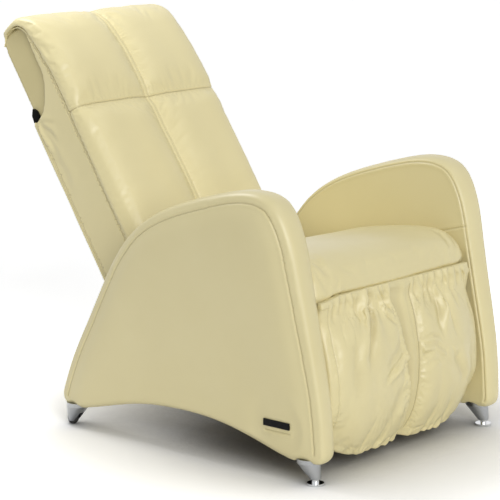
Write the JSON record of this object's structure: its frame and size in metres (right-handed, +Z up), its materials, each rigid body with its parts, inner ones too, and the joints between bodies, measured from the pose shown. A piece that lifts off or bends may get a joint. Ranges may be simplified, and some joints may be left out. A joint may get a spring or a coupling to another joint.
{
  "type": "massage chair",
  "caption": "Reclining massage chair in cream leather: fin-shaped arms, quartered back rolled over the head, crowned seat, gathered swing-up leg rest, aluminium feet, roller carriage inside.",
  "frame": {"origin": "middle of the overall box, on the floor under the glides and wheels", "axes": "+Z up, -Y the way the sitter faces, +X the sitter's left"},
  "size_m": [0.7826, 1.1598, 1.0053],
  "materials": {
    "cream_leather": "semi-matt grained leather",
    "panel_leather": "plain smooth leather, deeper tone",
    "dark_lining": "black lining cloth",
    "brushed_aluminium": "brushed",
    "chromed_steel": "polished chrome",
    "wheel_rubber": "matt",
    "plywood": "raw birch plywood",
    "coated_steel": "black powder coat",
    "bright_steel": "ground steel",
    "black_plastic": "fine textured moulding",
    "roller_polyurethane": "smooth",
    "gloss_plate": "gloss black, blank"
  },
  "bodies": {
    "base": {"arm_pad_left": "cream_leather", "arm_pad_right": "cream_leather", "arm_core_left": "plywood", "arm_core_right": "plywood", "front_leg_left": "brushed_aluminium", "front_leg_right": "brushed_aluminium", "front_glide_left": "chromed_steel", "front_glide_right": "chromed_steel", "rear_leg_left": "brushed_aluminium", "rear_leg_right": "brushed_aluminium", "wheel_axles": "bright_steel", "front_beam": "coated_steel", "rear_beam": "coated_steel", "seat_frame": "coated_steel", "seat_board": "plywood", "seat_cushion": "cream_leather", "back_hinge_bracket_left": "coated_steel", "back_hinge_bracket_right": "coated_steel", "side_plate": "gloss_plate", "power_box": "black_plastic", "power_inlet": "black_plastic", "handset_socket": "black_plastic", "frame_bolts": "bright_steel", "legrest_hinge_pins": "bright_steel"},
    "backrest": {"back_pad": "cream_leather", "back_side_cover_left": "cream_leather", "back_side_cover_right": "cream_leather", "head_side_panel_left": "panel_leather", "head_side_panel_right": "panel_leather", "head_shell": "panel_leather", "rear_cover": "cream_leather", "mouth_lining": "dark_lining", "back_frame": "coated_steel", "guide_rods": "bright_steel", "screw_motor": "black_plastic"},
    "legrest": {"legrest_pad": "cream_leather", "legrest_board": "plywood", "legrest_frame": "coated_steel"},
    "lift_screw": {"lead_screw": "bright_steel"},
    "carriage": {"carriage_frame": "coated_steel", "kneading_motor": "black_plastic"},
    "kneader": {"kneading_shaft": "bright_steel"},
    "massage_arm_left": {"massage_arm_left": "coated_steel"},
    "massage_arm_right": {"massage_arm_right": "coated_steel"},
    "roller_upper_left": {"roller_upper_left": "roller_polyurethane"},
    "roller_upper_right": {"roller_upper_right": "roller_polyurethane"},
    "roller_lower_left": {"roller_lower_left": "roller_polyurethane"},
    "roller_lower_right": {"roller_lower_right": "roller_polyurethane"},
    "recline_actuator": {"recline_actuator": "black_plastic"},
    "recline_rod": {"recline_rod": "bright_steel"},
    "legrest_actuator": {"legrest_actuator": "black_plastic"},
    "legrest_rod": {"legrest_rod": "bright_steel"},
    "rear_wheel_left": {"rear_wheel_left": "wheel_rubber"},
    "rear_wheel_right": {"rear_wheel_right": "wheel_rubber"},
    "power_switch": {"power_switch": "black_plastic"}
  },
  "joints": [
    {"name": "back_recline", "type": "hinge", "parent": "base", "child": "backrest", "pos_m": [0, 0.061, 0.345], "axis": [-1, 0, 0], "range_deg": [0, 40]},
    {"name": "legrest_swing", "type": "hinge", "parent": "base", "child": "legrest", "pos_m": [0, -0.50101, 0.386], "axis": [-1, 0, 0], "range_deg": [0, 80]},
    {"name": "recline_actuator_swing", "type": "hinge", "parent": "base", "child": "recline_actuator", "pos_m": [-0.08, -0.36901, 0.264], "axis": [-1, 0, 0], "range_deg": [-12, 12]},
    {"name": "recline_rod_slide", "type": "slide", "parent": "recline_actuator", "child": "recline_rod", "axis": [0, 1, -0.0078], "range_m": [-0.09, 0.09]},
    {"name": "legrest_actuator_swing", "type": "hinge", "parent": "base", "child": "legrest_actuator", "pos_m": [0.08, -0.01901, 0.264], "axis": [-1, 0, 0], "range_deg": [-12, 12]},
    {"name": "legrest_rod_slide", "type": "slide", "parent": "legrest_actuator", "child": "legrest_rod", "axis": [0, -0.9847, 0.1741], "range_m": [-0.09, 0.09]},
    {"name": "carriage_lift", "type": "slide", "parent": "backrest", "child": "carriage", "axis": [0, 0.5476, 0.8368], "range_m": [-0.13, 0.21]},
    {"name": "lift_screw_turn", "type": "hinge", "parent": "backrest", "child": "lift_screw", "pos_m": [0, 0.31334, 0.6101], "axis": [0, 0.5476, 0.8368], "continuous": true},
    {"name": "kneading_turn", "type": "hinge", "parent": "carriage", "child": "kneader", "pos_m": [0, 0.28824, 0.62652], "axis": [1, 0, 0], "continuous": true},
    {"name": "massage_arm_left_rock", "type": "hinge", "parent": "carriage", "child": "massage_arm_left", "pos_m": [0, 0.28824, 0.62652], "axis": [1, 0, 0], "range_deg": [-8, 8]},
    {"name": "massage_arm_right_rock", "type": "hinge", "parent": "carriage", "child": "massage_arm_right", "pos_m": [0, 0.28824, 0.62652], "axis": [1, 0, 0], "range_deg": [-8, 8]},
    {"name": "roller_upper_left_turn", "type": "hinge", "parent": "massage_arm_left", "child": "roller_upper_left", "pos_m": [0.07, 0.30333, 0.6788], "axis": [1, 0, 0], "continuous": true},
    {"name": "roller_lower_left_turn", "type": "hinge", "parent": "massage_arm_left", "child": "roller_lower_left", "pos_m": [0.07, 0.24638, 0.59177], "axis": [1, 0, 0], "continuous": true},
    {"name": "roller_upper_right_turn", "type": "hinge", "parent": "massage_arm_right", "child": "roller_upper_right", "pos_m": [-0.07, 0.30333, 0.6788], "axis": [1, 0, 0], "continuous": true},
    {"name": "roller_lower_right_turn", "type": "hinge", "parent": "massage_arm_right", "child": "roller_lower_right", "pos_m": [-0.07, 0.24638, 0.59177], "axis": [1, 0, 0], "continuous": true},
    {"name": "rear_wheel_left_turn", "type": "hinge", "parent": "base", "child": "rear_wheel_left", "pos_m": [0.331, 0.252, 0.015], "axis": [1, 0, 0], "continuous": true},
    {"name": "rear_wheel_right_turn", "type": "hinge", "parent": "base", "child": "rear_wheel_right", "pos_m": [-0.331, 0.252, 0.015], "axis": [1, 0, 0], "continuous": true},
    {"name": "power_switch_rock", "type": "hinge", "parent": "base", "child": "power_switch", "pos_m": [0.195, 0.01699, 0.266], "axis": [-1, 0, 0], "range_deg": [0, 14]}
  ],
  "couplings": [
    {"joint": "recline_actuator_swing", "follows": "back_recline", "ratio": 0.01427},
    {"joint": "recline_rod_slide", "follows": "back_recline", "m_per_rad": -0.086748},
    {"joint": "legrest_actuator_swing", "follows": "legrest_swing", "ratio": -0.011023},
    {"joint": "legrest_rod_slide", "follows": "legrest_swing", "m_per_rad": 0.04266},
    {"joint": "lift_screw_turn", "follows": "carriage_lift", "rad_per_m": 314.16}
  ]
}
